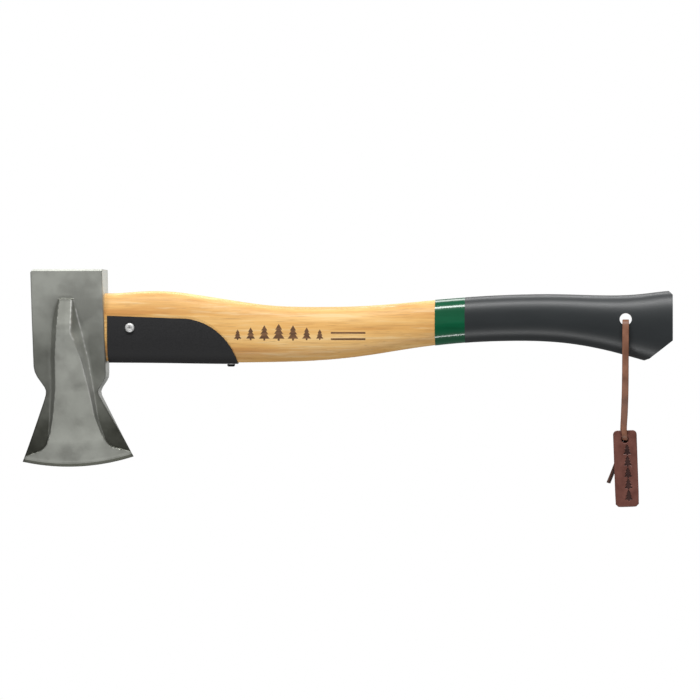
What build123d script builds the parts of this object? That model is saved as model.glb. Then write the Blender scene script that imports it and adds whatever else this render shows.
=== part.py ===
from build123d import *
from math import cos, pi, radians, sin, tan
import os

# Splitting hatchet. +X runs along the handle to the knob, +Z goes up past the poll,
# Y crosses the thickness. The origin is the centre of the grip. All sizes in millimetres.

# Handle: places along X with the top line, the bottom line and the thickness there
handle_stations = [
    (-375, 19.2, -33.8, 24.0),
    (-345, 19.3, -33.8, 24.0),
    (-311, 19.6, -34.1, 24.2),
    (-283, 19.3, -34.4, 24.6),
    (-264, 16.8, -34.7, 24.8),
    (-246, 14.0, -34.9, 25.0),
    (-210, 9.0, -34.6, 25.4),
    (-173, 7.7, -33.3, 25.8),
    (-136, 8.5, -29.6, 26.0),
    (-99, 11.4, -23.8, 26.0),
    (-62, 14.5, -19.6, 26.0),
    (-25, 16.5, -18.0, 26.4),
    (12, 16.9, -19.2, 27.0),
    (48, 16.0, -25.2, 28.0),
    (74, 17.0, -32.2, 28.8),
    (104, 19.5, -41.0, 29.6),
]
oval_power = 2.3           # 2 is an ellipse, more is a squarer oval
oval_points = 24
end_x = 98.3               # flat end of the knob, over the coat
end_bevel_z = -17.7        # where the slanted cut meets the flat end
end_bevel_slope = 38.0     # degrees from X
end_corner_x = 80.6        # from here a flatter cut softens the lower corner
end_corner_slope = 19.0
end_top_z = 16.8
end_top_cut = 3.2
hole_x = 62.6              # hanging hole through the knob
hole_z = -1.8
hole_radius = 4.6

# Coats on the handle
band_start_x = -82.6
coat_start_x = -59.8
coat_thickness = 0.4
fit_gap = 0.02             # between pieces of one body that touch over a curved face

# How far shapes that only cut run past what they cut
reach = 60.0
overrun = 2.0

# Head: outline seen from the side
poll_z = 36.6
poll_left_x = -392.8
poll_right_x = -337.3
cheek_left = (-391.0, -38.0)
lower_left = (-387.4, -47.6)
lower_right = (-335.1, -45.6)
neck_left = (-380.6, -56.8)
neck_right = (-342.2, -57.0)
heel = (-401.1, -111.4)
toe = (-315.0, -107.0)
edge_radius = 166.4        # the cutting edge is an arc about this centre
edge_centre = (-366.0, 51.2)
poll_chamfer = 1.5
poll_corner_cut = 2.4      # the poll's far corner, seen from the side
lower_left_radius = 9.0
neck_left_radius = 7.0
lower_right_radius = 4.0
neck_right_radius = 6.0

# Head: half thickness, by height on the eye body and by radius on the blade
eye_body_half = [(18.0, poll_z), (16.0, 0.0), (12.4, -36.0), (11.0, -52.0), (11.0, -60.0)]
blade_half = [(11.0, 104.0), (10.6, 112.0), (8.6, 121.0), (5.6, 133.0), (3.4, 143.0), (1.9, 152.0), (0.0, 166.4)]
bit_half = [(12.0, 121.0), (4.3, 149.0), (2.3, 158.0), (0.0, 166.4)]

# Splitting rib: height, half thickness, base left, face left, face right, base right
rib_sections = [
    (14.0, 18.6, -371.5, -370.0, -360.6, -359.4),
    (0.0, 22.0, -375.2, -371.2, -360.6, -356.4),
    (-13.0, 24.4, -376.6, -371.9, -360.9, -353.0),
    (-32.0, 21.4, -377.5, -373.3, -352.6, -348.9),
    (-56.0, 16.0, -376.9, -373.6, -347.0, -344.8),
    (-78.0, 9.9, -378.6, -376.4, -343.8, -342.4),
    (-92.0, 6.0, -380.6, -379.6, -338.6, -337.6),
]
rib_root = 3.0             # the rib's base is carried this far under the cheek at the top
flare_left = [(-378.6, -78.0), (-380.4, -91.0), (-383.2, -99.6), (-389.5, -104.8), (-402.0, -107.0)]
flare_right = [(-342.4, -78.0), (-338.0, -91.0), (-333.4, -98.4), (-326.0, -101.8), (-310.0, -101.8)]

# Eye, tenon and wedges
eye_centre_z = -7.8
eye_right = (9.6, 23.0)    # half width and half height at the shoulder side
eye_left = (10.6, 24.2)    # the same at the far face, where the wedges spread the wood
kerf_end_x = -352.0
wedge_end_x = -358.0
wedge_half = 1.9
wedge_tip_half = 0.5
ring_radius = 7.4
ring_wall = 1.3
ring_end_x = -381.0

# Guard under the front of the handle
guard_thickness = 1.1
guard_left_x = -334.0
guard_top_left_z = 1.0
guard_top_right = (-274.0, -1.3)
guard_middle = (-250.8, -10.2)
guard_tail = (-234.3, -34.2)
side_screw = (-316.4, -8.2)
side_screw_head = 3.55
side_screw_height = 1.9
side_screw_length = 9.0
bottom_screw_x = -239.7
bottom_screw_head = 3.0
bottom_screw_height = 1.9
bottom_screw_length = 15.0
screw_shank = 1.6
screw_point = 2.5
side_seat_y = 13.27        # undersides of the screw heads
bottom_seat_z = -36.14

# Lace: one flat thong, from the knot through the tag, up the front, through the hanging hole
# and down the back into the knot again
lace_width = 5.0
lace_thickness = 1.8
lace_route = [
    (62.2, 2.4, -93.3),
    (62.0, -2.8, -93.3),
    (61.2, -3.1, -84.9),
    (61.6, -6.0, -75.5),
    (62.2, -11.6, -60.5),
    (62.4, -16.5, -43.5),
    (62.4, -17.4, -27.5),
    (62.5, -17.6, -13.3),
    (62.6, -17.2, -2.6),
    (62.6, -8.0, -3.5),
    (62.6, 8.0, -3.5),
    (62.6, 17.2, -2.6),
    (62.5, 17.6, -13.3),
    (62.4, 17.4, -27.5),
    (62.3, 16.5, -43.5),
    (62.0, 11.9, -60.5),
    (61.4, 6.6, -76.0),
    (60.9, 4.8, -85.2),
    (60.8, 5.6, -92.8),
]
knot_front_y = 2.0
knot_size = (6.2, 3.9, 5.4)  # half sizes of the knot
knot_centre = (61.0, 5.7, -95.0)

# Tails, which start inside the knot
tail_routes = [
    [(60.4, 5.9, -95.4), (57.0, 5.2, -109.0), (49.4, 5.9, -126.9)],
    [(61.6, 6.4, -95.6), (63.9, 7.6, -111.5), (62.6, 7.2, -129.0)],
]
tail_twist = [22.0, 12.0]  # degrees about the tail, from edge-on to the front

# Tag
tag_size = (18.0, 58.4)
tag_thickness = 3.0
tag_hole = (62.1, -93.6)
tag_hole_radius = 3.1
tag_hole_drop = 7.0        # from the tag's top to its hole
tag_tilt = 2.0             # degrees, foot towards the knob
tag_corner = 3.2


def oval(half_width, half_height, middle):
    # a closed superellipse, local x across and local y up
    points = []
    for step in range(oval_points):
        angle = 2 * pi * step / oval_points
        across = abs(cos(angle)) ** (2 / oval_power)
        up = abs(sin(angle)) ** (2 / oval_power)
        if cos(angle) < 0:
            across = -across
        if sin(angle) < 0:
            up = -up
        points.append((half_width * across, middle + half_height * up))
    with BuildLine() as outline:
        Spline(*points, periodic=True)
    make_face(outline.edges())


def handle_form(grow, mode=Mode.ADD):
    # the handle's outer surface, moved out by grow
    sections = []
    for x, top, bottom, thickness in handle_stations:
        with BuildSketch(Plane.YZ.offset(x)) as section_sketch:
            oval(thickness / 2 + grow, (top - bottom) / 2 + grow, (top + bottom) / 2)
        sections.append(section_sketch.sketch.face())
    loft(sections, mode=mode)


def end_trim(grow):
    # keeps what lies inside the knob's end: flat, with a slanted cut below and a soft corner above
    slope = tan(radians(end_bevel_slope))
    corner_slope = tan(radians(end_corner_slope))
    last_x = end_x - coat_thickness + grow
    low_z = end_bevel_z - grow
    corner_x = end_corner_x - coat_thickness + grow
    corner_z = low_z - (last_x - corner_x) * slope
    with BuildSketch(Plane.XZ) as kept:
        with BuildLine():
            Polyline(
                (handle_stations[0][0], reach),
                (handle_stations[0][0], -reach),
                (corner_x - (corner_z + reach) / corner_slope, -reach),
                (corner_x, corner_z),
                (last_x, low_z),
                (last_x, end_top_z),
                (last_x - end_top_cut, end_top_z + end_top_cut),
                (last_x - end_top_cut, reach),
                close=True,
            )
        make_face()
    extrude(kept.sketch, amount=reach, both=True, mode=Mode.INTERSECT)


def head_outline(mode):
    with BuildSketch(Plane.XZ) as outline:
        with BuildLine():
            Polyline(
                heel, neck_left, lower_left, cheek_left, (poll_left_x, poll_z),
                (poll_right_x, poll_z), lower_right, neck_right, toe,
            )
            RadiusArc(toe, heel, edge_radius)
        make_face()
        fillet([vertices().sort_by_distance(lower_left)[0]], radius=lower_left_radius)
        fillet([vertices().sort_by_distance(neck_left)[0]], radius=neck_left_radius)
        fillet([vertices().sort_by_distance(lower_right)[0]], radius=lower_right_radius)
        fillet([vertices().sort_by_distance(neck_right)[0]], radius=neck_right_radius)
        chamfer([vertices().sort_by_distance((poll_left_x, poll_z))[0]], length=poll_corner_cut)
    extrude(outline.sketch, amount=reach, both=True, mode=mode)


def disc(profile, mode):
    # a solid of revolution about the centre of the edge's arc, from (half thickness, radius)
    x, z = edge_centre
    right = [(half, z - radius) for half, radius in profile]
    left = [(-half, z - radius) for half, radius in reversed(profile) if half > 0]
    with BuildSketch(Plane.YZ.offset(x)) as half_section:
        with BuildLine():
            Polyline(*right, *left, close=True)
        make_face()
    revolve(half_section.sketch.face(), axis=Axis((x, 0, z), (0, 1, 0)), mode=mode)


def eye_form(shrink, mode):
    # tapered oval through the head, wider at the far face
    ends = []
    for x, (half_width, half_height) in ((guard_left_x, eye_right), (poll_left_x - overrun, eye_left)):
        with BuildSketch(Plane.YZ.offset(x)) as end:
            oval(half_width - shrink, half_height - shrink, eye_centre_z)
        ends.append(end.sketch.face())
    loft(ends, ruled=True, mode=mode)


def wedge_form(tip_x, mode):
    # a flat wedge in the plane of the handle, thick at the far face
    with BuildSketch(Plane.XY.offset(eye_centre_z)) as taper:
        with BuildLine():
            Polyline(
                (poll_left_x - overrun, -wedge_half),
                (tip_x, -wedge_tip_half),
                (tip_x, wedge_tip_half),
                (poll_left_x - overrun, wedge_half),
                close=True,
            )
        make_face()
    extrude(taper.sketch, amount=reach, both=True, mode=mode)


def ring_form(grow, mode):
    length = ring_end_x - poll_left_x + overrun
    with BuildSketch(Plane.YZ.offset(poll_left_x - overrun)) as ring:
        with Locations((0, eye_centre_z)):
            Circle(ring_radius + grow)
            Circle(ring_radius - ring_wall - grow, mode=Mode.SUBTRACT)
    extrude(ring.sketch, amount=length + grow, mode=mode)


def corner_radii(points):
    # 0.45 of the shorter run beside each corner, over the tangent of half the turn
    radii = []
    for before, here, after in zip(points, points[1:], points[2:]):
        turn = (here - before).get_angle(after - here)
        shorter = min((here - before).length, (after - here).length)
        radii.append(0.45 * shorter / tan(radians(turn / 2)))
    return radii


def thong(points, twist=0.0, side=(1, 0, 0)):
    # a flat strip along straight runs joined by tangent arcs; side is its width's direction
    radii = corner_radii(points)
    with BuildLine() as route:
        FilletPolyline(*points, radius=radii)
    start = Plane(origin=points[0], x_dir=side, z_dir=points[1] - points[0])
    with BuildSketch(start) as strip:
        Rectangle(lace_width, lace_thickness, rotation=twist)
    sweep(strip.sketch, path=route.wires()[0])
    print("radii", [round(radius, 1) for radius in radii])
    print("length", round(route.wires()[0].length, 1))


bit_floor_z = heel[1] - reach

# Bit: the polished wedge that spreads from the rib to the whole cutting edge
with BuildPart() as bit:
    with BuildSketch(Plane.XZ):
        with BuildLine():
            Spline(*flare_left)
            Line(flare_left[-1], (flare_left[-1][0], bit_floor_z))
            Line((flare_left[-1][0], bit_floor_z), (flare_right[-1][0], bit_floor_z))
            Line((flare_right[-1][0], bit_floor_z), flare_right[-1])
            Spline(*reversed(flare_right))
            Line(flare_right[0], flare_left[0])
        make_face()
    extrude(amount=reach, both=True)
    disc(bit_half, Mode.INTERSECT)
    head_outline(Mode.INTERSECT)

# Splitting rib on both cheeks
with BuildPart() as rib:
    for height, half, base_left, face_left, face_right, base_right in rib_sections:
        root = half / 2 - rib_root / 2
        with BuildSketch(Plane.XY.offset(height)):
            with BuildLine():
                Polyline(
                    (base_left, -root), (face_left, -half), (face_right, -half), (base_right, -root),
                    (base_right, root), (face_right, half), (face_left, half), (base_left, root),
                    close=True,
                )
            make_face()
    loft(ruled=True)

# Head
with BuildPart() as head:
    with BuildSketch(Plane.YZ.offset(heel[0] - overrun)):
        with BuildLine():
            right = eye_body_half
            left = [(-half, height) for half, height in reversed(eye_body_half)]
            Polyline(*right, *left, close=True)
        make_face()
    extrude(amount=toe[0] - heel[0] + 2 * overrun)
    disc(blade_half, Mode.ADD)
    head_outline(Mode.INTERSECT)
    add(rib.part)
    add(bit.part)
    eye_form(0, Mode.SUBTRACT)
    chamfer(faces().sort_by(Axis.Z)[-1].edges(), length=poll_chamfer)

# Handle, with its tenon, the kerf, the screw holes and the hanging hole
with BuildPart() as shoulder:
    handle_form(0)
    head_outline(Mode.SUBTRACT)
    end_trim(0)

with BuildPart() as tenon:
    eye_form(2 * fit_gap, Mode.ADD)
    head_outline(Mode.INTERSECT)
    wedge_form(kerf_end_x, Mode.SUBTRACT)
    ring_form(fit_gap, Mode.SUBTRACT)

with BuildPart() as handle:
    add(shoulder.part.solids().sort_by(SortBy.VOLUME)[-1])
    add(tenon.part)
    with Locations(Plane.XZ):
        with Locations((hole_x, hole_z)):
            Cylinder(hole_radius, reach, mode=Mode.SUBTRACT)
        with Locations(side_screw):
            Cylinder(screw_shank + fit_gap, reach, mode=Mode.SUBTRACT)
    with Locations((bottom_screw_x, 0, bottom_seat_z)):
        Cylinder(screw_shank + fit_gap, 2 * (bottom_screw_length + overrun), mode=Mode.SUBTRACT)

# Wedges in the eye: hardwood across the kerf, and a steel ring driven over it
with BuildPart() as wood_wedge:
    wedge_form(wedge_end_x, Mode.ADD)
    eye_form(2 * fit_gap, Mode.INTERSECT)
    head_outline(Mode.INTERSECT)
    ring_form(fit_gap, Mode.SUBTRACT)

with BuildPart() as ring_wedge:
    ring_form(0, Mode.ADD)
    head_outline(Mode.INTERSECT)

# Guard: a bent sheet under the front of the handle, with a round tail
with BuildPart() as guard:
    handle_form(guard_thickness)
    handle_form(fit_gap, Mode.SUBTRACT)
    with BuildSketch(Plane.XZ):
        with BuildLine():
            Line((guard_left_x, -reach), (guard_left_x, guard_top_left_z))
            Line((guard_left_x, guard_top_left_z), guard_top_right)
            ThreePointArc(guard_top_right, guard_middle, guard_tail)
            Line(guard_tail, (guard_tail[0], -reach))
            Line((guard_tail[0], -reach), (guard_left_x, -reach))
        make_face()
    extrude(amount=reach, both=True, mode=Mode.INTERSECT)
    with Locations(Plane.XZ):
        with Locations(side_screw):
            Cylinder(screw_shank + fit_gap, reach, mode=Mode.SUBTRACT)
    with Locations((bottom_screw_x, 0, bottom_seat_z)):
        Cylinder(screw_shank + fit_gap, 2 * bottom_screw_length, mode=Mode.SUBTRACT)


def pan_screw(head_radius, head_height, length):
    # half section of a pan-head screw, revolved about local Z: shank down, domed head up
    rim = head_height * 0.35
    dome = head_height - rim
    dome_radius = (head_radius ** 2 + dome ** 2) / (2 * dome)
    with BuildSketch(Plane.XZ) as half:
        with BuildLine():
            Polyline(
                (0, head_height),
                (0, -length),
                (screw_shank, screw_point - length),
                (screw_shank, 0),
                (head_radius, 0),
                (head_radius, rim),
            )
            RadiusArc((head_radius, rim), (0, head_height), -dome_radius)
        make_face()
    revolve(half.sketch.face(), axis=Axis.Z)


with BuildPart() as side_screw_form:
    pan_screw(side_screw_head, side_screw_height, side_screw_length)
with BuildPart() as bottom_screw_form:
    pan_screw(bottom_screw_head, bottom_screw_height, bottom_screw_length)

side_seats = [
    Plane(origin=(side_screw[0], way * side_seat_y, side_screw[1]), z_dir=(0, way, 0)) for way in (-1, 1)
]
bottom_seat = Plane(origin=(bottom_screw_x, 0, bottom_seat_z), z_dir=(0, 0, -1))
side_screws_in_place = [seat * side_screw_form.part for seat in side_seats]
bottom_screw_in_place = bottom_seat * bottom_screw_form.part

with BuildPart() as guard_side_screws:
    add(side_screws_in_place, clean=False)

with BuildPart() as guard_bottom_screw:
    add(bottom_screw_in_place, clean=False)

# Coats: the green band and the grip's soft coat
with BuildPart() as coat_core:
    handle_form(fit_gap)
    end_trim(fit_gap)

with BuildPart() as coat_form:
    handle_form(coat_thickness)
    end_trim(coat_thickness)
    add(coat_core.part, mode=Mode.SUBTRACT)
    with Locations(Plane.XZ):
        with Locations((hole_x, hole_z)):
            Cylinder(hole_radius, reach, mode=Mode.SUBTRACT)

with BuildPart() as green_band:
    add(coat_form.part)
    split(bisect_by=Plane.YZ.offset(band_start_x), keep=Keep.TOP)
    split(bisect_by=Plane.YZ.offset(coat_start_x), keep=Keep.BOTTOM)

with BuildPart() as grip_coat:
    add(coat_form.part)
    split(bisect_by=Plane.YZ.offset(coat_start_x), keep=Keep.TOP)

# Knot behind the tag, the lace and its two tails
with BuildPart() as knot_form:
    Sphere(1)
    scale(by=knot_size)
knot_in_place = Pos(*knot_centre) * knot_form.part

with BuildPart() as lace_knot:
    add(knot_in_place)
    split(bisect_by=Plane.XZ.offset(-knot_front_y), keep=Keep.BOTTOM)

with BuildPart() as lace:
    thong([Vector(*point) for point in lace_route])
    add(lace_knot.part, mode=Mode.SUBTRACT)

with BuildPart() as lace_tails:
    for tail_route, twist in zip(tail_routes, tail_twist):
        thong([Vector(*point) for point in tail_route], twist, (0, 1, 0))
    add(lace_knot.part, mode=Mode.SUBTRACT)

# Tag
tag_plane = Plane(
    origin=(tag_hole[0], 0, tag_hole[1]),
    x_dir=(cos(radians(tag_tilt)), 0, sin(radians(tag_tilt))),
    z_dir=(0, -1, 0),
)
with BuildPart() as tag:
    with BuildSketch(tag_plane):
        with Locations((0, tag_hole_drop - tag_size[1] / 2)):
            RectangleRounded(tag_size[0], tag_size[1], tag_corner)
        Circle(tag_hole_radius, mode=Mode.SUBTRACT)
    extrude(amount=tag_thickness / 2, both=True)

pieces = {
    "head": head,
    "handle": handle,
    "wood_wedge": wood_wedge,
    "ring_wedge": ring_wedge,
    "guard": guard,
    "guard_side_screws": guard_side_screws,
    "guard_bottom_screw": guard_bottom_screw,
    "green_band": green_band,
    "grip_coat": grip_coat,
    "lace": lace,
    "lace_knot": lace_knot,
    "lace_tails": lace_tails,
    "tag": tag,
}
os.makedirs("parts", exist_ok=True)
for name, piece in pieces.items():
    piece.part.label = name
    export_step(piece.part, f"parts/{name}.step")
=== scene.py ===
import bpy
import bmesh
import math
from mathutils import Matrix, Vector, noise
from mathutils.bvhtree import BVHTree


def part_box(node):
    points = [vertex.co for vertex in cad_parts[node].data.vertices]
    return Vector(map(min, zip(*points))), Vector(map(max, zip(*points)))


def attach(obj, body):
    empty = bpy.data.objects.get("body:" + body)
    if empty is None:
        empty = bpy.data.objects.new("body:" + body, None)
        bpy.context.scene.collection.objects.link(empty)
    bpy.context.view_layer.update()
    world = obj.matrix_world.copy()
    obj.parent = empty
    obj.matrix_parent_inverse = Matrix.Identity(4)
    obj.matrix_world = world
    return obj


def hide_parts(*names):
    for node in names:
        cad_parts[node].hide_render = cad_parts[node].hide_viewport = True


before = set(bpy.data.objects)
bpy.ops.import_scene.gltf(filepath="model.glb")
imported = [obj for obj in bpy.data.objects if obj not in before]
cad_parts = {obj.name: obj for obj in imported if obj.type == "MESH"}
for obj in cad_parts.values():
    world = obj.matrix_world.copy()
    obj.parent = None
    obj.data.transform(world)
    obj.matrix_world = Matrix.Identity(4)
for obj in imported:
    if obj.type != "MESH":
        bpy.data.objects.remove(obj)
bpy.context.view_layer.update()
mm = 0.001
hatchetBody = "hatchet"
lanyardBody = "lanyard"
tagBody = "tag"

# the camera stands level, square to the knob and turned towards the middle of the handle
cameraSetup = {
    "place": (0.062, -3.056, -0.0253),
    "lookAt": (-0.1482, 0.0, -0.0253),
    "fieldWidth": 0.5365,  # what the view takes in at the handle's distance
    "sensor": 36.0,
}

# the lace's route from the knot up the front, through the hanging hole and down the back
lace = {
    "width": 5.0 * mm,
    "thickness": 1.8 * mm,
    "route": [
        (62.2, 2.4, -93.3),
        (62.0, -2.8, -93.3),
        (61.2, -3.1, -84.9),
        (61.6, -6.0, -75.5),
        (62.2, -11.6, -60.5),
        (62.4, -16.5, -43.5),
        (62.4, -17.4, -27.5),
        (62.5, -17.6, -13.3),
        (62.6, -17.2, -2.6),
        (62.6, -8.0, -3.5),
        (62.6, 8.0, -3.5),
        (62.6, 17.2, -2.6),
        (62.5, 17.6, -13.3),
        (62.4, 17.4, -27.5),
        (62.3, 16.5, -43.5),
        (62.0, 11.9, -60.5),
        (61.4, 6.6, -76.0),
        (60.9, 4.8, -84.9),
        (60.8, 5.6, -92.8),
    ],
    "length": 0.2195,
    "pinch": 0.76,  # the share of its width left where it goes through the tag
}
laceTails = {
    "routes": [
        [(60.4, 5.9, -95.4), (57.0, 5.2, -109.0), (49.4, 5.9, -126.9)],
        [(61.6, 6.4, -95.6), (63.9, 7.6, -111.5), (62.6, 7.2, -129.0)],
    ],
    "twists": [68.0, 78.0],  # degrees from flat to the front
    "length": 0.0335,
}
laceKnot = {
    "steps": 90,
    "around": 12,
    "fat": 0.62,   # the strand's width and thickness, as shares of the lace's
    "thin": 0.72,
    "wide": 0.72,  # how much of its box the strand's middle line takes up
    "deep": 0.42,
}


def pointsOf(route):
    return [Vector(point) * mm for point in route]


def addMesh(name, verts, faces, smooth=True):
    mesh = bpy.data.meshes.new(name)
    mesh.from_pydata([tuple(v) for v in verts], [], faces)
    mesh.update()
    for polygon in mesh.polygons:
        polygon.use_smooth = smooth
    piece = bpy.data.objects.new(name, mesh)
    bpy.context.scene.collection.objects.link(piece)
    return piece


def makeCamera():
    data = bpy.data.cameras.new("camera")
    camera = bpy.data.objects.new("camera", data)
    bpy.context.scene.collection.objects.link(camera)
    place = Vector(cameraSetup["place"])
    aim = Vector(cameraSetup["lookAt"]) - place
    camera.location = place
    camera.rotation_mode = "QUATERNION"
    camera.rotation_quaternion = aim.to_track_quat("-Z", "Y")
    data.sensor_width = cameraSetup["sensor"]
    data.lens = cameraSetup["sensor"] * aim.length / cameraSetup["fieldWidth"]
    data.clip_end = 100
    bpy.context.scene.camera = camera


def smoothLine(name, route):
    # the points of the smooth curve that the route steers
    curve = bpy.data.curves.new(name + "Route", "CURVE")
    curve.dimensions = "3D"
    curve.resolution_u = 10
    spline = curve.splines.new("NURBS")
    points = pointsOf(route)
    spline.points.add(len(points) - 1)
    for target, point in zip(spline.points, points):
        target.co = (*point, 1)
    spline.order_u = 3
    spline.use_endpoint_u = True
    holder = bpy.data.objects.new(name + "Route", curve)
    mesh = bpy.data.meshes.new_from_object(holder)
    line = [vertex.co.copy() for vertex in mesh.vertices]
    bpy.data.meshes.remove(mesh)
    bpy.data.objects.remove(holder)
    return line


def thongSection(width, thickness):
    # a flat strip's section with soft cut edges
    half, thin = width / 2, thickness / 2
    soft = thickness * 0.3
    ring = []
    corners = ((half, thin, 0), (-half, thin, 90), (-half, -thin, 180), (half, -thin, 270))
    for cornerX, cornerY, start in corners:
        for step in range(4):
            angle = math.radians(start + step * 30)
            x = cornerX - math.copysign(soft, cornerX) + soft * math.cos(angle)
            y = cornerY - math.copysign(soft, cornerY) + soft * math.sin(angle)
            ring.append((x, y))
    return ring


def sweepStrip(name, line, section, sideAt, widthAt=lambda share: 1.0):
    # sweeps the section along the line; sideAt gives the width's direction at a share of the way
    verts, faces = [], []
    count = len(section)
    last = len(line) - 1
    for index, point in enumerate(line):
        ahead = line[min(index + 1, last)] - line[max(index - 1, 0)]
        tangent = ahead.normalized()
        side = sideAt(index / last)
        side = (side - tangent * side.dot(tangent)).normalized()
        up = tangent.cross(side)
        wide = widthAt(index / last)
        verts += [point + side * x * wide + up * y / wide ** 0.5 for x, y in section]
    for index in range(last):
        for step in range(count):
            a = index * count + step
            b = index * count + (step + 1) % count
            faces.append((a, b, b + count, a + count))
    faces.append(tuple(reversed(range(count))))
    faces.append(tuple(range(last * count, (last + 1) * count)))
    piece = addMesh(name, verts, faces)
    fixNormals(piece)
    return piece


def fixNormals(piece):
    mesh = bmesh.new()
    mesh.from_mesh(piece.data)
    bmesh.ops.recalc_face_normals(mesh, faces=mesh.faces)
    mesh.to_mesh(piece.data)
    mesh.free()


def makeLace():
    section = thongSection(lace["width"], lace["thickness"])
    line = smoothLine("lace", lace["route"])

    def widthAt(share):
        # squeezed narrow in the tag's hole, at its full width a little way above it
        return lace["pinch"] + (1 - lace["pinch"]) * min(max((share - 0.03) / 0.12, 0.0), 1.0)

    strap = sweepStrip("leatherLace", line, section, lambda share: Vector((1, 0, 0)), widthAt)
    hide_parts("lace")
    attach(strap, lanyardBody)
    tails = []
    for number, (route, twist) in enumerate(zip(laceTails["routes"], laceTails["twists"]), 1):
        tailLine = smoothLine("tail", route)
        turn = math.radians(twist)
        side = Vector((math.cos(turn), math.sin(turn), 0))
        tail = sweepStrip(f"laceTail{number}", tailLine, section, lambda share: side)
        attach(tail, lanyardBody)
        tails.append((tail, tailLine))
    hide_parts("lace_tails")
    return strap, line, tails


def makeKnot():
    # an overhand knot drawn tight into the space behind the tag
    low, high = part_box("lace_knot")
    middle = (low + high) / 2
    half = (high - low) / 2
    steps = laceKnot["steps"]
    loop = []
    for step in range(steps):
        angle = 2 * math.pi * step / steps
        across = (math.sin(angle) + 2 * math.sin(2 * angle)) / 3
        along = (math.cos(angle) - 2 * math.cos(2 * angle)) / 3
        deep = -math.sin(3 * angle)
        wide, thick = laceKnot["wide"], laceKnot["deep"]
        loop.append(Vector((across * half.x * wide, deep * half.y * thick, along * half.z * wide)))
    ring = []
    count = laceKnot["around"]
    thickX = lace["width"] * laceKnot["fat"] / 2
    thickY = lace["thickness"] * laceKnot["thin"]
    for step in range(count):
        angle = 2 * math.pi * step / count
        ring.append((thickX * math.cos(angle), thickY * math.sin(angle)))
    verts, faces = [], []
    for index, point in enumerate(loop):
        tangent = (loop[(index + 1) % steps] - loop[index - 1]).normalized()
        outward = Vector((point.x, point.y * 1.6, point.z)).normalized()
        side = tangent.cross(outward).normalized()
        up = side.cross(tangent).normalized()
        verts += [middle + point + side * x + up * y for x, y in ring]
    for index in range(steps):
        ahead = (index + 1) % steps
        for step in range(count):
            a, b = step, (step + 1) % count
            faces.append((index * count + a, index * count + b, ahead * count + b, ahead * count + a))
    knot = addMesh("laceKnot", verts, faces)
    fixNormals(knot)
    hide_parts("lace_knot")
    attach(knot, lanyardBody)
    return knot


print("camera and lace")
makeCamera()
strap, strapLine, tails = makeLace()
knot = makeKnot()

# the head's outline and thickness, seen from the side; heights are Z, all in millimetres
head = {
    "leftSide": [(36.6, -390.6), (34.4, -392.7), (-38.0, -391.0), (-42.0, -390.2), (-46.0, -388.3),
                 (-50.0, -385.5), (-54.0, -382.7), (-56.8, -381.6), (-60.0, -381.9), (-66.0, -383.9),
                 (-111.4, -401.1)],
    "rightSide": [(36.6, -337.3), (-43.0, -335.2), (-46.0, -335.5), (-49.0, -336.9), (-54.0, -340.2),
                  (-57.0, -341.3), (-60.0, -340.6), (-64.0, -338.5), (-107.0, -315.0)],
    "edgeCentre": (-366.0, 51.2),
    "edgeRadius": 166.4,
    "eyeBody": [(36.6, 18.0), (0.0, 16.0), (-36.0, 12.4), (-52.0, 11.0), (-60.0, 11.0)],
    "blade": [(104.0, 11.0), (112.0, 10.6), (121.0, 8.6), (133.0, 5.6), (143.0, 3.4), (152.0, 1.9),
              (166.4, 0.12)],
    "rib": [(37.2, 18.4), (51.2, 21.9), (58.0, 23.5), (64.2, 24.3), (71.0, 23.4), (83.2, 21.3),
            (107.2, 15.9), (129.2, 9.8), (149.0, 4.3), (158.0, 2.4), (163.8, 1.25), (166.4, 0.1)],
    "ribLeft": [(14.0, -370.9), (8.0, -373.2), (0.0, -375.2), (-13.0, -376.6), (-32.0, -377.5),
                (-56.0, -377.0), (-78.0, -378.6), (-91.0, -380.4), (-99.0, -383.0), (-103.5, -387.6),
                (-105.6, -393.0), (-107.0, -402.0)],
    "faceLeft": [(14.0, -369.8), (8.0, -370.6), (0.0, -371.2), (-13.0, -371.9), (-32.0, -373.3),
                 (-56.0, -373.6), (-78.0, -376.4), (-91.0, -379.4), (-99.0, -382.3), (-103.5, -387.0),
                 (-105.6, -392.4), (-107.0, -401.4)],
    "faceRight": [(14.0, -360.6), (0.0, -360.6), (-13.0, -360.9), (-20.0, -357.2), (-32.0, -352.6),
                  (-56.0, -347.0), (-78.0, -343.5), (-91.0, -338.6), (-97.0, -335.2), (-100.6, -331.0),
                  (-102.2, -325.6), (-103.0, -312.0)],
    "ribRight": [(14.0, -359.4), (0.0, -356.4), (-13.0, -353.0), (-20.0, -351.6), (-32.0, -348.9),
                 (-56.0, -344.8), (-78.0, -342.2), (-91.0, -338.0), (-97.0, -334.5), (-100.6, -330.4),
                 (-102.2, -325.0), (-103.0, -311.4)],
    # the painted shade on the rib's ground face down its length, and the least painted shade on its left
    # flank
    "ground": [(14.0, 0.5), (-8.0, 0.45), (-14.0, 0.0), (-32.0, 0.0), (-70.0, 0.36), (-82.0, 0.34),
               (-98.0, 0.2)],
    "leftFlankPaintedShade": 0.35,
    "ribTop": 14.0,
    "bevel": 2.3,  # width of the dark bevel along the edge
    "thinEdge": 3.0,  # this close to the edge the thickness tables are read without easing
    "blend": 1.9,  # how far the soft side of the rib reaches, in widths of its flank
    "pollLength": 54.5,
    "crown": 0.25,   # how far the rib's face swells in its middle
    "fillet": 0.5,   # where the rib meets the cheek
    "corner": 1.1,
    "chamfer": 1.3,  # along the poll's edge
    "rows": 300,
    "columns": 110,
    "wallRows": 8,
    "bladeTop": -58.0,
    # painted shade on the blade's side walls
    "bladeWallPaintedShade": 0.45,
}
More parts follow.
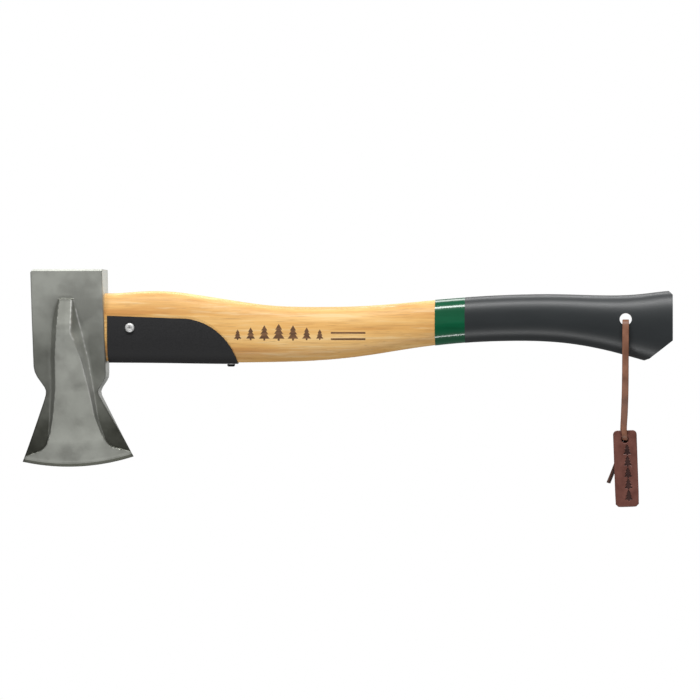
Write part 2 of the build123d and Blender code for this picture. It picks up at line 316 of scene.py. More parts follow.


# painted highlights beside the rib: bright lines where its ridge and root catch the light, and painted
# light on the flank between; heights are Z, in millimetres
paintedHighlight = {
    "ridgeWidth": 0.6,
    "ridgeFoot": -18.0,
    "rootWidth": 0.5,
    "thinFrom": -40.0,
    "flank": 0.3,
    "foot": -78.0,
    "fadeLength": 34.0,
}


def between(table, at):
    # a straight-line reading of a table whose first column runs one way
    rising = table[-1][0] > table[0][0]
    rows = table if rising else table[::-1]
    if at <= rows[0][0]:
        return rows[0][1]
    for (x0, y0), (x1, y1) in zip(rows, rows[1:]):
        if at <= x1:
            return y0 + (y1 - y0) * (at - x0) / (x1 - x0)
    return rows[-1][1]


def eased(table, at):
    # the same reading, averaged over a short window, so that the kinks are soft
    return sum(between(table, at + shift) for shift in (-2.0, -1.0, 0.0, 1.0, 2.0)) / 5


def softMax(a, b, width):
    # the larger of two, with a small fillet where they meet
    gap = max(width - abs(a - b), 0.0) / width
    return max(a, b) + gap * gap * width * 0.25


def slope(value, start, end):
    # 0 at the start, 1 at the end and straight between, whichever way it runs
    return min(max((value - start) / (end - start), 0.0), 1.0)


def headHalf(x, z):
    # half thickness of the head at a point of its side view, and how dark the steel is there: its forged
    # skin, with painted shade
    centreX, centreZ = head["edgeCentre"]
    radius = math.hypot(x - centreX, z - centreZ)
    reading = eased if radius < head["edgeRadius"] - head["thinEdge"] else between
    share = slope(z, -50.0, -60.0)
    cheek = eased(head["eyeBody"], z) * (1 - share) + reading(head["blade"], radius) * share
    if z > head["ribTop"]:
        return cheek, 0.0
    left, right = eased(head["ribLeft"], z), eased(head["ribRight"], z)
    faceLeft, faceRight = eased(head["faceLeft"], z), eased(head["faceRight"], z)
    rib = reading(head["rib"], radius)
    fromRight = (right - x) / max(right - faceRight, 0.5)
    if 0.0 < fromRight < head["blend"]:
        # below its top the face runs over into the right flank without a ridge
        reach = fromRight / head["blend"]
        turned = min(reach * (2.2 - 1.2 * reach), 1.0)
        fromRight += (turned - min(fromRight, 1.0)) * slope(z, -14.0, -26.0)
    inward = min((x - left) / max(faceLeft - left, 0.5), fromRight)
    climb = min(inward, 1.0)
    aside = abs(x - (left + right) / 2) / max((right - left) / 2, 1.0)
    crown = head["crown"] * max(0.0, 1.0 - aside)
    raised = cheek + (rib + crown - cheek) * climb
    # beside the rib the steel keeps its dark forged skin, and the rib's face is ground; the skin's
    # darkening towards the bottom, the dark walls near the edge, the rib face's darkening along its
    # length and its left flank are painted shade
    skinAndShadeDown = 0.6 * slope(z, 16.0, -29.0) + 0.4 * slope(z, -50.0, -86.0)
    skinAndLowShadeShare = min(max(0.15 + 2.0 * slope(z, -90.0, -98.0) - inward * 1.2, 0.0), 1.0)
    ground = eased(head["ground"], z)
    # the rib's left flank gets painted shade at least
    if x < faceLeft:
        ground = max(ground, head["leftFlankPaintedShade"])
    skinAndPaintedShade = skinAndLowShadeShare * skinAndShadeDown + (1 - skinAndLowShadeShare) * ground
    if radius > head["edgeRadius"] - head["bevel"]:
        skinAndPaintedShade = 1.0
    if climb < -0.4:
        return cheek, skinAndPaintedShade
    return softMax(cheek, raised, head["fillet"]), skinAndPaintedShade


def paintedHighlightLine(x, z):
    # how much painted highlight lies beside the rib's right flank: two lines where its edges catch the
    # light, and painted light on the flank between them
    if z > head["ribTop"] - 1.0 or z < paintedHighlight["foot"]:
        return 0.0
    faceRight, ribRight = eased(head["faceRight"], z), eased(head["ribRight"], z)
    ridge = math.exp(-((x - faceRight) / paintedHighlight["ridgeWidth"]) ** 2) if z > paintedHighlight["ridgeFoot"] else 0.0
    thinner = 1.6 if z < paintedHighlight["thinFrom"] else 1.0
    root = 0.9 * math.exp(-((x - ribRight) * thinner / paintedHighlight["rootWidth"]) ** 2)
    patchy = 0.6 + 0.8 * noise.noise(Vector((x * 0.3, z * 0.35, 2.0)))
    # painted light on the flank between the two lines, growing lower down
    paintedLight = 0.0
    if faceRight - 1.5 < x < ribRight:
        paintedLight = paintedHighlight["flank"] * slope(z, -20.0, -40.0)
    fade = min((z - paintedHighlight["foot"]) / paintedHighlight["fadeLength"], 1.0)
    return max(max(ridge, root) * max(patchy, 0.0), paintedLight) * fade


def headPoint(u, v):
    # a point of the side view: u runs from the left side to the right, v from the poll to the edge
    top = head["leftSide"][0][0]
    leftZ = top + (head["leftSide"][-1][0] - top) * v
    rightZ = top + (head["rightSide"][-1][0] - top) * v
    leftX = between(head["leftSide"], leftZ)
    rightX = between(head["rightSide"], rightZ)
    x = leftX + (rightX - leftX) * u
    straight = leftZ + (rightZ - leftZ) * u
    centreX, centreZ = head["edgeCentre"]
    bottomX = head["leftSide"][-1][1] + (head["rightSide"][-1][1] - head["leftSide"][-1][1]) * u
    chord = head["leftSide"][-1][0] + (head["rightSide"][-1][0] - head["leftSide"][-1][0]) * u
    arc = centreZ - math.sqrt(head["edgeRadius"] ** 2 - (bottomX - centreX) ** 2)
    return x, straight + (arc - chord) * v ** 3


def roundOff(distance, corner):
    # how far the surface drops within a rounded corner, at a distance from the side
    if distance >= corner:
        return 0.0
    return corner - math.sqrt(max(corner ** 2 - (corner - distance) ** 2, 0.0))


def spread(count, span, corner):
    # shares from 0 to 1 that lie closer together near both ends
    shares = [0.0]
    for distance in (0.08, 0.25, 0.55, 1.0, 1.5):
        shares.append(distance * corner / span)
    inner = count - 2 * len(shares)
    start = shares[-1]
    middle = [start + (1 - 2 * start) * (step + 1) / (inner + 1) for step in range(inner)]
    return shares + middle + [1 - share for share in reversed(shares)]


def makeHead():
    corner = head["corner"]
    columns = spread(head["columns"], head["pollLength"], corner)
    chamferRow = head["chamfer"] / (head["leftSide"][0][0] - head["leftSide"][-1][0])
    rows = [0.0, chamferRow / 2, chamferRow]
    rows += [chamferRow + (1 - chamferRow) * (step + 1) / head["rows"] for step in range(head["rows"])]
    verts, faces, skinAndPaintedShadeValues, paintedHighlightValues = [], [], [], []
    wide, tall = len(columns), len(rows)
    topZ = head["leftSide"][0][0]
    for side in (-1, 1):
        for v in rows:
            leftX, leftZ = headPoint(0, v)
            rightX, rightZ = headPoint(1, v)
            for u in columns:
                x, z = headPoint(u, v)
                half, skinAndPaintedShade = headHalf(x, z)
                reach = min(corner, half * 0.8)
                near = min(x - leftX, rightX - x)
                drop = roundOff(near, reach) if reach > 0.05 else 0.0
                drop = max(drop, head["chamfer"] - (topZ - z))
                verts.append(Vector((x, side * max(half - drop, 0.05), z)) * mm)
                # each point carries its forged skin with painted shade, and its painted highlight
                skinAndPaintedShadeValues.append(skinAndPaintedShade)
                paintedHighlightValues.append(paintedHighlightLine(x, z))
    back = wide * tall
    for row in range(tall - 1):
        for column in range(wide - 1):
            a = row * wide + column
            faces.append((a, a + wide, a + wide + 1, a + 1))
            faces.append((back + a, back + a + 1, back + a + wide + 1, back + a + wide))

    def joinBorder(border):
        # a wall of several rows between the two cheeks along one border
        previous = border
        steps = head["wallRows"]
        for step in range(1, steps + 1):
            if step == steps:
                current = [back + index for index in border]
            else:
                current = []
                for index in border:
                    front, rear = verts[index], verts[back + index]
                    current.append(len(verts))
                    verts.append(front.lerp(rear, step / steps))
                    # below the blade's top the walls get painted shade at least
                    least = head["bladeWallPaintedShade"] if front.z < head["bladeTop"] * mm else 0.0
                    skinAndPaintedShadeValues.append(max(skinAndPaintedShadeValues[index], least))
                    paintedHighlightValues.append(0.0)
            for a, b, c, d in zip(previous, previous[1:], current[1:], current):
                faces.append((a, b, c, d))
            previous = current

    joinBorder([column for column in range(wide)])
    joinBorder([row * wide for row in range(tall)])
    joinBorder([row * wide + wide - 1 for row in range(tall)])
    joinBorder([(tall - 1) * wide + column for column in range(wide)])
    piece = addMesh("forgedHead", verts, faces)
    # kept on the mesh for the steel's colour: forged skin with painted shade, and painted highlights
    for name, values in (("skinAndPaintedShade", skinAndPaintedShadeValues), ("paintedHighlightShare", paintedHighlightValues)):
        attribute = piece.data.attributes.new(name, "FLOAT", "POINT")
        attribute.data.foreach_set("value", values)
    mesh = bmesh.new()
    mesh.from_mesh(piece.data)
    bmesh.ops.remove_doubles(mesh, verts=mesh.verts, dist=0.000002)
    bmesh.ops.recalc_face_normals(mesh, faces=mesh.faces)
    mesh.to_mesh(piece.data)
    mesh.free()
    cutEye(piece)
    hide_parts("head")
    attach(piece, hatchetBody)
    return piece


# the tapered eye that the tenon fills
eye = {
    "right": (-334.0, 9.6, 23.0),  # place, half width, half height
    "left": (-394.8, 10.6, 24.2),
    "middle": -7.8,
    "power": 2.3,  # 2 is an ellipse, more is a squarer oval
    "steps": 72,
}


def cutEye(piece):
    verts, faces = [], []
    steps = eye["steps"]
    for x, halfWidth, halfHeight in (eye["left"], eye["right"]):
        for step in range(steps):
            angle = 2 * math.pi * step / steps
            across = math.copysign(abs(math.cos(angle)) ** (2 / eye["power"]), math.cos(angle))
            up = math.copysign(abs(math.sin(angle)) ** (2 / eye["power"]), math.sin(angle))
            verts.append(Vector((x, halfWidth * across, eye["middle"] + halfHeight * up)) * mm)
    for step in range(steps):
        ahead = (step + 1) % steps
        faces.append((step, ahead, steps + ahead, steps + step))
    faces.append(tuple(range(steps)))
    faces.append(tuple(reversed(range(steps, 2 * steps))))
    cutter = addMesh("eyeCutter", verts, faces)
    fixNormals(cutter)
    cutAway(piece, cutter)


def cutAway(piece, cutter):
    cut = piece.modifiers.new("cut", "BOOLEAN")
    cut.operation = "DIFFERENCE"
    cut.solver = "EXACT"
    cut.object = cutter
    depsgraph = bpy.context.evaluated_depsgraph_get()
    result = bpy.data.meshes.new_from_object(piece.evaluated_get(depsgraph))
    piece.modifiers.clear()
    piece.data = result
    bpy.data.objects.remove(cutter)


print("head")
forgedHead = makeHead()

# the tag: a tooled leather plate
tag = {
    "width": 18.0,
    "height": 58.4,
    "thickness": 3.0,
    "corner": 3.2,
    "hole": (62.1, 0.0, -93.6),
    "holeDrop": 7.0,
    "holeRadius": 2.6,
    "tilt": 2.0,
    "edge": 0.7,
    "pressed": 0.45,   # depth of the pressed marks
    "trees": [7.4, 7.4, 7.4, 7.4, 7.4],
    "treePitch": 8.7,
    "treesAside": 1.4,
    "treesUp": 5.6,    # from the tag's foot to the lowest tree
    "spokes": 220,
    "rings": 64,
    "grain": 0.05,
}


def insideRounded(x, z, halfWidth, halfHeight, corner):
    # distance inside a rounded rectangle, negative outside
    dx = abs(x) - (halfWidth - corner)
    dz = abs(z) - (halfHeight - corner)
    outside = math.hypot(max(dx, 0.0), max(dz, 0.0))
    return corner - outside - min(max(dx, dz), 0.0)


# a fir tree for a height of 1: bands of (low, half width there, high, half width there)
treeBands = [
    (-0.14, 0.07, 0.0, 0.07), (0.0, 0.40, 0.32, 0.17), (0.32, 0.31, 0.60, 0.12), (0.60, 0.23, 1.0, 0.0),
]


def treeOutline(size):
    right = []
    for low, lowHalf, high, highHalf in treeBands:
        right += [(lowHalf * size, low * size), (highHalf * size, high * size)]
    left = [(-x, z) for x, z in reversed(right[:-1])]
    return right + left


def pressTrees(piece, middle, right, up):
    # cuts the row of trees into the tag's front; the cut faces keep the darker material
    front = -tag["thickness"] / 2
    verts, faces = [], []
    for number, size in enumerate(tag["trees"]):
        outline = treeOutline(size)
        foot = -tag["height"] / 2 + tag["treesUp"] + number * tag["treePitch"]
        start = len(verts)
        count = len(outline)
        for depth in (front - 1.0, front + tag["pressed"]):
            for x, z in outline:
                onFace = middle + right * (tag["treesAside"] + x) + up * (foot + z)
                verts.append((onFace + Vector((0, depth, 0))) * mm)
        for step in range(count):
            ahead = (step + 1) % count
            faces.append((start + step, start + ahead, start + count + ahead, start + count + step))
        faces.append(tuple(range(start, start + count)))
        faces.append(tuple(reversed(range(start + count, start + 2 * count))))
    cutter = addMesh("treeCutter", verts, faces, smooth=False)
    fixNormals(cutter)
    for holder in (piece, cutter):
        holder.data.materials.append(bpy.data.materials.new("face"))
        holder.data.materials.append(bpy.data.materials.new("pressed"))
    for polygon in cutter.data.polygons:
        polygon.material_index = 1
    cutAway(piece, cutter)


def makeTag():
    hole = Vector(tag["hole"])
    tilt = math.radians(tag["tilt"])
    right = Vector((math.cos(tilt), 0.0, math.sin(tilt)))
    up = Vector((-math.sin(tilt), 0.0, math.cos(tilt)))
    middle = hole + up * (tag["holeDrop"] - tag["height"] / 2)
    holeZ = tag["height"] / 2 - tag["holeDrop"]
    # rings from the hole out to the edge, so that both borders are clean
    spokes, rings = tag["spokes"], tag["rings"]
    halfWidth, halfHeight = tag["width"] / 2, tag["height"] / 2

    def borderPoint(angle):
        # where a ray from the hole's centre meets the tag's outline
        dx, dz = math.cos(angle), math.sin(angle)
        low, high = 0.0, 2 * tag["height"]
        for _ in range(32):
            at = (low + high) / 2
            if insideRounded(dx * at, holeZ + dz * at, halfWidth, halfHeight, tag["corner"]) > 0:
                low = at
            else:
                high = at
        return low

    verts, faces = [], []
    thin = tag["thickness"] / 2
    edge = tag["edge"]
    angles = [2 * math.pi * step / spokes for step in range(spokes)]
    # more spokes towards the foot, where the plate is long
    angles = [angle + 0.55 * math.cos(angle) for angle in angles]
    for side in (-1, 1):
        for ring in range(rings + 1):
            share = ring / rings
            for angle in angles:
                reach = borderPoint(angle)
                start = tag["holeRadius"]
                span = reach - start
                at = start + span * share
                if ring <= 3:
                    at = start + edge * (0.0, 0.2, 0.55, 1.0)[ring]
                elif ring >= rings - 3:
                    at = reach - edge * (1.0, 0.55, 0.2, 0.0)[ring - rings + 3]
                x, z = math.cos(angle) * at, holeZ + math.sin(angle) * at
                near = min(at - start, insideRounded(x, z, halfWidth, halfHeight, tag["corner"]))
                drop = roundOff(max(near, 0.0), edge)
                grain = tag["grain"] * noise.noise(Vector((x, z, side * 3.0)) * 1.4)
                y = side * (thin - drop - 0.06) + grain * (0 if near < edge else 1)
                verts.append((middle + right * x + up * z + Vector((0, y, 0))) * mm)
    back = spokes * (rings + 1)
    for ring in range(rings):
        for step in range(spokes):
            a = ring * spokes + step
            b = ring * spokes + (step + 1) % spokes
            faces.append((a, b, b + spokes, a + spokes))
            faces.append((back + a, back + a + spokes, back + b + spokes, back + b))
    for ring in (0, rings):
        for step in range(spokes):
            a = ring * spokes + step
            b = ring * spokes + (step + 1) % spokes
            faces.append((a, b, back + b, back + a))
    piece = addMesh("leatherTag", verts, faces)
    fixNormals(piece)
    pressTrees(piece, middle, right, up)
    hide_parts("tag")
    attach(piece, tagBody)
    return piece


print("tag")
leatherTag = makeTag()

# screws: pan heads with a six-lobed recess
screws = {
    "side": (-316.4, -8.2),
    "sideSeat": 13.27,
    "sideHead": 3.55,
    "bottomX": -239.7,
    "bottomSeat": -36.14,
    "bottomHead": 3.0,
    "height": 1.9,
    "recess": 1.35,
    "around": 72,
    "lobes": 6,
    "lobeDepth": 0.13,
    "recessDepth": 1.1,
}


def makeScrewHead(name, seat, outward, right, radius):
    # rings from the recess floor, up its lobed wall and over the dome to the rim and the underside
    around = screws["around"]
    up = outward.cross(right)
    height = screws["height"]
    rings = []
    for share, depth in ((0.0, 1.0), (0.55, 1.0), (0.93, 1.0), (1.0, 0.93), (1.0, 0.15), (1.06, 0.0)):
        rings.append(("recess", share * screws["recess"], -depth * screws["recessDepth"]))
    domeStart = screws["recess"] * 1.1
    domeRings = 8
    for step in range(1, domeRings + 1):
        share = step / domeRings
        rings.append(("dome", domeStart + (radius - domeStart) * share, share))
    rings.append(("rim", radius, height * 0.12))
    rings.append(("rim", radius * 0.94, 0.0))
    verts, faces = [], []
    for kind, reach, level in rings:
        for step in range(around):
            angle = 2 * math.pi * step / around
            r = reach
            if kind == "recess":
                r *= 1 + screws["lobeDepth"] * math.cos(screws["lobes"] * angle)
                top = height * 0.97
                z = top + level
            elif kind == "dome":
                z = height * (0.36 + 0.64 * math.sqrt(max(1 - level ** 2.4, 0.0)))
            else:
                z = level
            point = seat + outward * z + right * (math.cos(angle) * r) + up * (math.sin(angle) * r)
            verts.append(point * mm)
    for ring in range(len(rings) - 1):
        for step in range(around):
            a = ring * around + step
            b = ring * around + (step + 1) % around
            faces.append((a, b, b + around, a + around))
    last = (len(rings) - 1) * around
    faces.append(tuple(range(last, last + around)))
    piece = addMesh(name, verts, faces)
    mesh = bmesh.new()
    mesh.from_mesh(piece.data)
    bmesh.ops.remove_doubles(mesh, verts=mesh.verts, dist=0.000001)
    bmesh.ops.recalc_face_normals(mesh, faces=mesh.faces)
    mesh.to_mesh(piece.data)
    mesh.free()
    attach(piece, hatchetBody)
    return piece


def makeScrews():
    x, z = screws["side"]
    pieces = []
    for name, way in (("screwHeadNear", -1), ("screwHeadFar", 1)):
        seat = Vector((x, way * screws["sideSeat"], z))
        piece = makeScrewHead(name, seat, Vector((0, way, 0)), Vector((1, 0, 0)), screws["sideHead"])
        pieces.append(piece)
    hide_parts("guard_side_screws")
    seat = Vector((screws["bottomX"], 0, screws["bottomSeat"]))
    down, along = Vector((0, 0, -1)), Vector((1, 0, 0))
    bottom = makeScrewHead("screwHeadUnder", seat, down, along, screws["bottomHead"])
    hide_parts("guard_bottom_screw")
    pieces.append(bottom)
    return pieces


# the burned row of firs on the handle, with two short lines
burned = {
    "lift": 0.04,  # how far the marks stand off the wood
    "trees": [(-233.5, 7.0), (-223.5, 8.6), (-213.0, 10.2), (-202.0, 11.4), (-191.0, 10.2),
              (-180.5, 8.6), (-170.5, 7.0)],  # place along the handle, height
    "footZ": -16.6,
    "lines": [(-162.0, -135.5, -12.2, 1.3), (-162.0, -135.5, -17.0, 1.3)],  # left, right, height, weight
    "cell": 0.8,
    "castFrom": -40.0,
}


def burnedMark(name, x, z, bands, surface):
    # bands of (low, half width there, high, half width there), meshed fine and laid on the near side
    verts, faces = [], []
    for low, lowHalf, high, highHalf in bands:
        rows = max(1, math.ceil((high - low) / burned["cell"]))
        columns = max(2, math.ceil(2 * max(lowHalf, highHalf) / burned["cell"]))
        start = len(verts)
        for row in range(rows + 1):
            up = low + (high - low) * row / rows
            half = lowHalf + (highHalf - lowHalf) * row / rows
            for column in range(columns + 1):
                across = half * (2 * column / columns - 1)
                outside = Vector((x + across, burned["castFrom"], z + up)) * mm
                place, normal, _, _ = surface.ray_cast(outside, Vector((0, 1, 0)))
                verts.append(place + normal * burned["lift"] * mm)
        for row in range(rows):
            for column in range(columns):
                a = start + row * (columns + 1) + column
                faces.append((a, a + 1, a + columns + 2, a + columns + 1))
    mark = addMesh(name, verts, faces)
    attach(mark, hatchetBody)
    return mark


def burnMarks():
    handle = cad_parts["handle"]
    places = [handle.matrix_world @ vertex.co for vertex in handle.data.vertices]
    surface = BVHTree.FromPolygons(places, [tuple(polygon.vertices) for polygon in handle.data.polygons])
    marks = []
    for number, (x, size) in enumerate(burned["trees"], 1):
        bands = [[share * size for share in band] for band in treeBands]
        marks.append(burnedMark(f"burnedTree{number}", x, burned["footZ"], bands, surface))
    for number, (left, right, middle, weight) in enumerate(burned["lines"], 1):
        half = (right - left) / 2
        bands = [(-weight / 2, half, weight / 2, half)]
        marks.append(burnedMark(f"burnedLine{number}", left + half, middle, bands, surface))
    return marks


print("burned marks")
marks = burnMarks()

print("screws")
screwHeads = makeScrews()


# materials
def newMaterial(name):
    material = bpy.data.materials.new(name)
    material.use_nodes = True
    tree = material.node_tree
    tree.nodes.clear()
    output = tree.nodes.new("ShaderNodeOutputMaterial")
    shader = tree.nodes.new("ShaderNodeBsdfPrincipled")
    tree.links.new(shader.outputs["BSDF"], output.inputs["Surface"])
    return material, tree, shader


def addNode(tree, kind, inputs=None, **settings):
    node = tree.nodes.new(kind)
    for key, value in settings.items():
        setattr(node, key, value)
    for key, value in (inputs or {}).items():
        node.inputs[key].default_value = value
    return node


def objectCoords(tree, scale):
    coords = addNode(tree, "ShaderNodeTexCoord")
    mapping = addNode(tree, "ShaderNodeMapping", {"Scale": scale})
    tree.links.new(coords.outputs["Object"], mapping.inputs["Vector"])
    return mapping.outputs["Vector"]


def noiseAt(tree, vector, scale, detail=4.0, roughness=0.55):
    inputs = {"Scale": scale, "Detail": detail, "Roughness": roughness}
    node = addNode(tree, "ShaderNodeTexNoise", inputs)
    tree.links.new(vector, node.inputs["Vector"])
    return node.outputs["Fac"]


def ramp(tree, value, stops):
    node = addNode(tree, "ShaderNodeValToRGB")
    elements = node.color_ramp.elements
    while len(elements) < len(stops):
        elements.new(0.5)
    for element, (place, colour) in zip(elements, stops):
        element.position = place
        element.color = (*colour, 1)
    tree.links.new(value, node.inputs["Fac"])
    return node.outputs["Color"]


def mixColours(tree, factor, first, second):
    node = addNode(tree, "ShaderNodeMix", data_type="RGBA")
    for source, key in ((factor, 0), (first, 6), (second, 7)):
        if isinstance(source, (tuple, float, int)):
            node.inputs[key].default_value = source
        else:
            tree.links.new(source, node.inputs[key])
    return node.outputs[2]


def rangeOf(tree, value, low, high, toLow, toHigh):
    node = addNode(tree, "ShaderNodeMapRange",
                   {"From Min": low, "From Max": high, "To Min": toLow, "To Max": toHigh})
    tree.links.new(value, node.inputs["Value"])
    return node.outputs["Result"]


def bumpFrom(tree, shader, height, strength, distance):
    node = addNode(tree, "ShaderNodeBump", {"Strength": strength, "Distance": distance})
    tree.links.new(height, node.inputs["Height"])
    tree.links.new(node.outputs["Normal"], shader.inputs["Normal"])


def steelMaterial():
    material, tree, shader = newMaterial("groundSteel")
    shader.inputs["Metallic"].default_value = 0.8
    brushed = noiseAt(tree, objectCoords(tree, (1.0, 1.0, 0.05)), 2400.0, 3.0)
    scratches = noiseAt(tree, objectCoords(tree, (1.0, 1.0, 0.12)), 700.0, 5.0, 0.65)
    cloud = noiseAt(tree, objectCoords(tree, (1, 1, 1)), 45.0, 6.0, 0.6)
    skinAndPaintedShade = addNode(tree, "ShaderNodeAttribute", attribute_name="skinAndPaintedShade")
    paintedHighlightShare = addNode(tree, "ShaderNodeAttribute", attribute_name="paintedHighlightShare")
    ground = ramp(tree, cloud, [(0.38, (0.52, 0.53, 0.48)), (0.62, (0.60, 0.615, 0.56))])
    scratched = rangeOf(tree, scratches, 0.52, 0.68, 0.0, 0.25)
    lined = mixColours(tree, scratched, ground, (0.60, 0.61, 0.57, 1))
    # the dark scale colour serves for the forged skin and for painted shade
    scale = ramp(tree, cloud, [(0.38, (0.070, 0.072, 0.058)), (0.62, (0.110, 0.113, 0.094))])
    tinted = mixColours(tree, skinAndPaintedShade.outputs["Fac"], lined, scale)
    # painted highlight: near-white steel along the rib's edges and on its flank
    paintedLight = mixColours(tree, paintedHighlightShare.outputs["Fac"], tinted, (0.95, 0.95, 0.92, 1))
    tree.links.new(paintedLight, shader.inputs["Base Color"])
    tree.links.new(rangeOf(tree, cloud, 0.35, 0.65, 0.42, 0.54), shader.inputs["Roughness"])
    bumpFrom(tree, shader, brushed, 0.12, 0.00005)
    return material


def plainSteelMaterial(name, colour, roughness, metallic=1.0):
    material, tree, shader = newMaterial(name)
    shader.inputs["Metallic"].default_value = metallic
    shader.inputs["Roughness"].default_value = roughness
    speck = noiseAt(tree, objectCoords(tree, (1, 1, 1)), 900.0, 3.0)
    darker = tuple(channel * 0.8 for channel in colour)
    tree.links.new(ramp(tree, speck, [(0.35, darker), (0.65, colour)]), shader.inputs["Base Color"])
    bumpFrom(tree, shader, speck, 0.1, 0.00005)
    return material


def hickoryMaterial(name, endGrain):
    material, tree, shader = newMaterial(name)
    shader.inputs["Coat Weight"].default_value = 0.05
    shader.inputs["Coat Roughness"].default_value = 0.25
    shader.inputs["Specular IOR Level"].default_value = 0.25
    along = (1, 1, 1) if endGrain else (0.055, 1, 1)
    vector = objectCoords(tree, along)
    bend = noiseAt(tree, objectCoords(tree, (0.35, 1, 1)), 14.0, 2.0)
    broad = noiseAt(tree, vector, 75.0, 6.0, 0.6)
    streak = noiseAt(tree, objectCoords(tree, (0.02, 1, 1)), 420.0, 4.0, 0.65)
    pores = noiseAt(tree, objectCoords(tree, (0.035, 1, 1)), 1500.0, 2.0, 0.5)
    base = ramp(tree, broad, [
        (0.36, (0.70, 0.34, 0.10)), (0.46, (0.86, 0.485, 0.155)),
        (0.54, (0.93, 0.565, 0.205)), (0.64, (0.97, 0.65, 0.28)),
    ])
    flecks = noiseAt(tree, objectCoords(tree, (0.07, 1, 1)), 330.0, 3.0, 0.6)
    flecked = mixColours(tree, rangeOf(tree, flecks, 0.54, 0.66, 0.0, 0.4), base, (0.60, 0.31, 0.10, 1))
    light = mixColours(tree, rangeOf(tree, flecks, 0.46, 0.36, 0.0, 0.4), flecked, (0.97, 0.75, 0.42, 1))
    lined = mixColours(tree, rangeOf(tree, streak, 0.50, 0.70, 0.0, 0.4), light, (0.55, 0.28, 0.09, 1))
    pored = mixColours(tree, rangeOf(tree, pores, 0.62, 0.74, 0.0, 0.5), lined, (0.34, 0.17, 0.07, 1))
    shaded = mixColours(tree, rangeOf(tree, bend, 0.4, 0.8, 0.0, 0.15), pored, (0.66, 0.38, 0.15, 1))
    tree.links.new(shaded, shader.inputs["Base Color"])
    tree.links.new(rangeOf(tree, streak, 0.3, 0.7, 0.42, 0.55), shader.inputs["Roughness"])
    bumpFrom(tree, shader, pores, 0.18, 0.00008)
    return material


def burnedMaterial():
    material, tree, shader = newMaterial("burnedWood")
    shader.inputs["Roughness"].default_value = 0.7
    streak = noiseAt(tree, objectCoords(tree, (0.05, 1, 1)), 700.0, 4.0)
    tree.links.new(ramp(tree, streak, [(0.35, (0.085, 0.038, 0.016)), (0.65, (0.24, 0.115, 0.048))]),
                   shader.inputs["Base Color"])
    return material


def coatMaterial():
    material, tree, shader = newMaterial("gripCoating")
    shader.inputs["Specular IOR Level"].default_value = 0.5
    grain = noiseAt(tree, objectCoords(tree, (1, 1, 1)), 2200.0, 3.0)
    cloud = noiseAt(tree, objectCoords(tree, (0.3, 1, 1)), 30.0, 3.0)
    tree.links.new(ramp(tree, cloud, [(0.3, (0.018, 0.021, 0.023)), (0.7, (0.028, 0.032, 0.034))]),
                   shader.inputs["Base Color"])
    tree.links.new(rangeOf(tree, grain, 0.3, 0.7, 0.36, 0.46), shader.inputs["Roughness"])
    bumpFrom(tree, shader, grain, 0.22, 0.00008)
    return material


def lacquerMaterial():
    material, tree, shader = newMaterial("greenLacquer")
    shader.inputs["Roughness"].default_value = 0.22
    shader.inputs["Specular IOR Level"].default_value = 0.2
    shader.inputs["Coat Weight"].default_value = 0.85
    shader.inputs["Coat Roughness"].default_value = 0.12
    cloud = noiseAt(tree, objectCoords(tree, (0.1, 1, 1)), 160.0, 3.0)
    tree.links.new(ramp(tree, cloud, [(0.3, (0.002, 0.075, 0.030)), (0.7, (0.004, 0.115, 0.048))]),
                   shader.inputs["Base Color"])
    return material


def powderMaterial(name, colour):
    material, tree, shader = newMaterial(name)
    peel = noiseAt(tree, objectCoords(tree, (1, 1, 1)), 1300.0, 2.0)
    lighter = tuple(channel * 1.5 for channel in colour)
    tree.links.new(ramp(tree, peel, [(0.3, colour), (0.7, lighter)]), shader.inputs["Base Color"])
    shader.inputs["Specular IOR Level"].default_value = 0.15
    tree.links.new(rangeOf(tree, peel, 0.3, 0.7, 0.5, 0.62), shader.inputs["Roughness"])
    bumpFrom(tree, shader, peel, 0.25, 0.0001)
    return material


def leatherMaterial(name, dark, light):
    material, tree, shader = newMaterial(name)
    cells = addNode(tree, "ShaderNodeTexVoronoi", {"Scale": 1400.0})
    tree.links.new(objectCoords(tree, (1, 1, 1)), cells.inputs["Vector"])
    cloud = noiseAt(tree, objectCoords(tree, (1, 1, 1)), 120.0, 5.0)
    tree.links.new(ramp(tree, cloud, [(0.3, dark), (0.72, light)]), shader.inputs["Base Color"])
    tree.links.new(rangeOf(tree, cloud, 0.3, 0.7, 0.42, 0.6), shader.inputs["Roughness"])
    bumpFrom(tree, shader, cells.outputs["Distance"], 0.15, 0.00008)
    return material


def wear(material, *pieces):
    for piece in pieces:
        piece.data.materials.clear()
        piece.data.materials.append(material)
        for polygon in piece.data.polygons:
            polygon.material_index = 0


def softenShading(piece, degrees):
    # smooth shading, with the true corners kept sharp
    for polygon in piece.data.polygons:
        polygon.use_smooth = True
    piece.data.set_sharp_from_angle(angle=math.radians(degrees))


print("materials")
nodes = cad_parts
wear(steelMaterial(), forgedHead)
wear(hickoryMaterial("hickory", False), nodes["handle"])
wear(hickoryMaterial("wedgeWood", True), nodes["wood_wedge"])
wear(plainSteelMaterial("ringSteel", (0.45, 0.45, 0.44), 0.4), nodes["ring_wedge"])
wear(powderMaterial("guardCoating", (0.023, 0.023, 0.024)), nodes["guard"])
wear(plainSteelMaterial("screwZinc", (0.86, 0.86, 0.85), 0.38, 0.35), *screwHeads[:2])
wear(powderMaterial("darkScrew", (0.012, 0.012, 0.012)), screwHeads[2])
wear(lacquerMaterial(), nodes["green_band"])
wear(coatMaterial(), nodes["grip_coat"])
wear(burnedMaterial(), *marks)
wear(leatherMaterial("laceLeather", (0.19, 0.080, 0.045), (0.34, 0.150, 0.088)), strap)
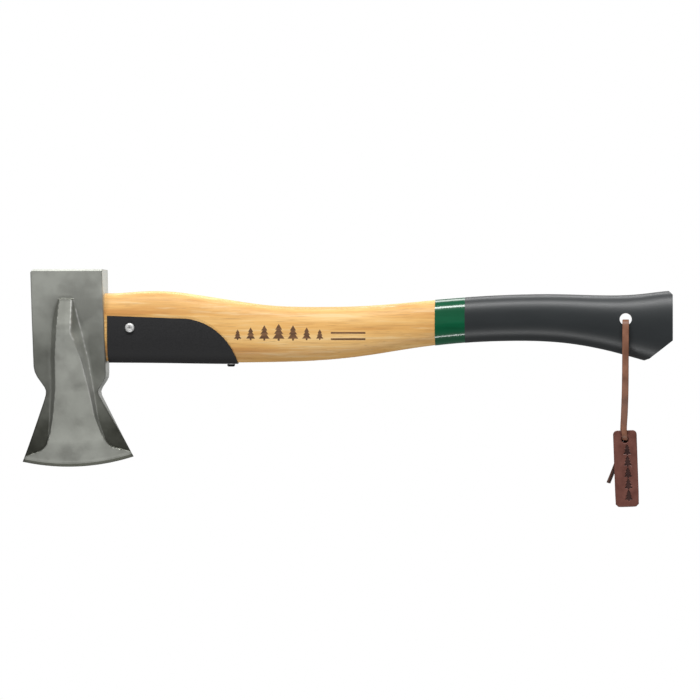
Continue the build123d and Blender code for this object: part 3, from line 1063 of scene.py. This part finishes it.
# the tails and the knot wear a much darker copy of the lace's leather: painted shade, for the shadow
# behind the tag
tailLeatherInShade = leatherMaterial("tailLeatherInShade", (0.05, 0.020, 0.013), (0.105, 0.045, 0.030))
wear(tailLeatherInShade, knot, tails[0][0], tails[1][0])
tagLeather = leatherMaterial("tagLeather", (0.115, 0.037, 0.026), (0.19, 0.066, 0.047))
pressedLeather = leatherMaterial("pressedLeather", (0.030, 0.010, 0.008), (0.055, 0.018, 0.013))
leatherTag.material_slots[0].material = tagLeather
leatherTag.material_slots[1].material = pressedLeather
for name in ("handle", "grip_coat", "green_band", "guard", "wood_wedge", "ring_wedge"):
    softenShading(nodes[name], 35)
softenShading(forgedHead, 40)
for piece in screwHeads:
    softenShading(piece, 40)

# the studio: a pale floor well below and a wide pale room
studio = {
    "floorZ": -1.8,
    "floorSize": 60.0,
    "roomLight": 0.22,
    "backLight": 1.0,
    "floorColour": (0.25, 0.25, 0.25, 1),
    "aim": (-0.15, 0.0, 0.0),
    "lights": [
        # name, place, width, height, radiance
        ("upperStrip", (-0.15, -1.1, 1.65), 2.0, 0.36, 19.5),
        ("lowerStrip", (-0.15, -1.1, -1.65), 2.4, 0.18, 13.5),
        ("top", (-0.15, 0.9, 1.6), 2.0, 0.8, 5.0),
        ("back", (-0.15, 3.0, 0.1), 6.0, 2.0, 1.1),
    ],
}


def seenAndFelt(tree, outputKind, seen, felt):
    # one look for the view, another for the light that falls on the hatchet
    output = addNode(tree, outputKind)
    path = addNode(tree, "ShaderNodeLightPath")
    both = addNode(tree, "ShaderNodeMixShader")
    tree.links.new(path.outputs["Is Camera Ray"], both.inputs["Fac"])
    tree.links.new(felt.outputs[0], both.inputs[1])
    tree.links.new(seen.outputs[0], both.inputs[2])
    tree.links.new(both.outputs["Shader"], output.inputs["Surface"])


def makeStudio():
    half = studio["floorSize"] / 2
    ways = ((-1, -1), (1, -1), (1, 1), (-1, 1))
    corners = [Vector((x * half, y * half, studio["floorZ"])) for x, y in ways]
    floor = addMesh("studioFloor", corners, [(0, 1, 2, 3)], smooth=False)
    material = bpy.data.materials.new("paleFloor")
    material.use_nodes = True
    tree = material.node_tree
    tree.nodes.clear()
    seen = addNode(tree, "ShaderNodeEmission", {"Color": (1, 1, 1, 1), "Strength": 1.0})
    felt = addNode(tree, "ShaderNodeBsdfDiffuse", {"Color": studio["floorColour"]})
    seenAndFelt(tree, "ShaderNodeOutputMaterial", seen, felt)
    floor.data.materials.append(material)

    world = bpy.data.worlds.new("room")
    world.use_nodes = True
    bpy.context.scene.world = world
    tree = world.node_tree
    tree.nodes.clear()
    white = (1, 1, 1, 1)
    seen = addNode(tree, "ShaderNodeBackground", {"Color": white, "Strength": studio["backLight"]})
    felt = addNode(tree, "ShaderNodeBackground", {"Color": white, "Strength": studio["roomLight"]})
    seenAndFelt(tree, "ShaderNodeOutputWorld", seen, felt)

    for name, place, width, height, radiance in studio["lights"]:
        data = bpy.data.lights.new(name, "AREA")
        data.shape = "RECTANGLE"
        data.size, data.size_y = width, height
        data.energy = radiance * math.pi * width * height
        light = bpy.data.objects.new(name, data)
        light.location = place
        light.rotation_mode = "QUATERNION"
        light.rotation_quaternion = (Vector(studio["aim"]) - Vector(place)).to_track_quat("-Z", "Y")
        light.visible_camera = False
        bpy.context.scene.collection.objects.link(light)
    bpy.context.scene.view_settings.view_transform = "Standard"


print("studio")
makeStudio()
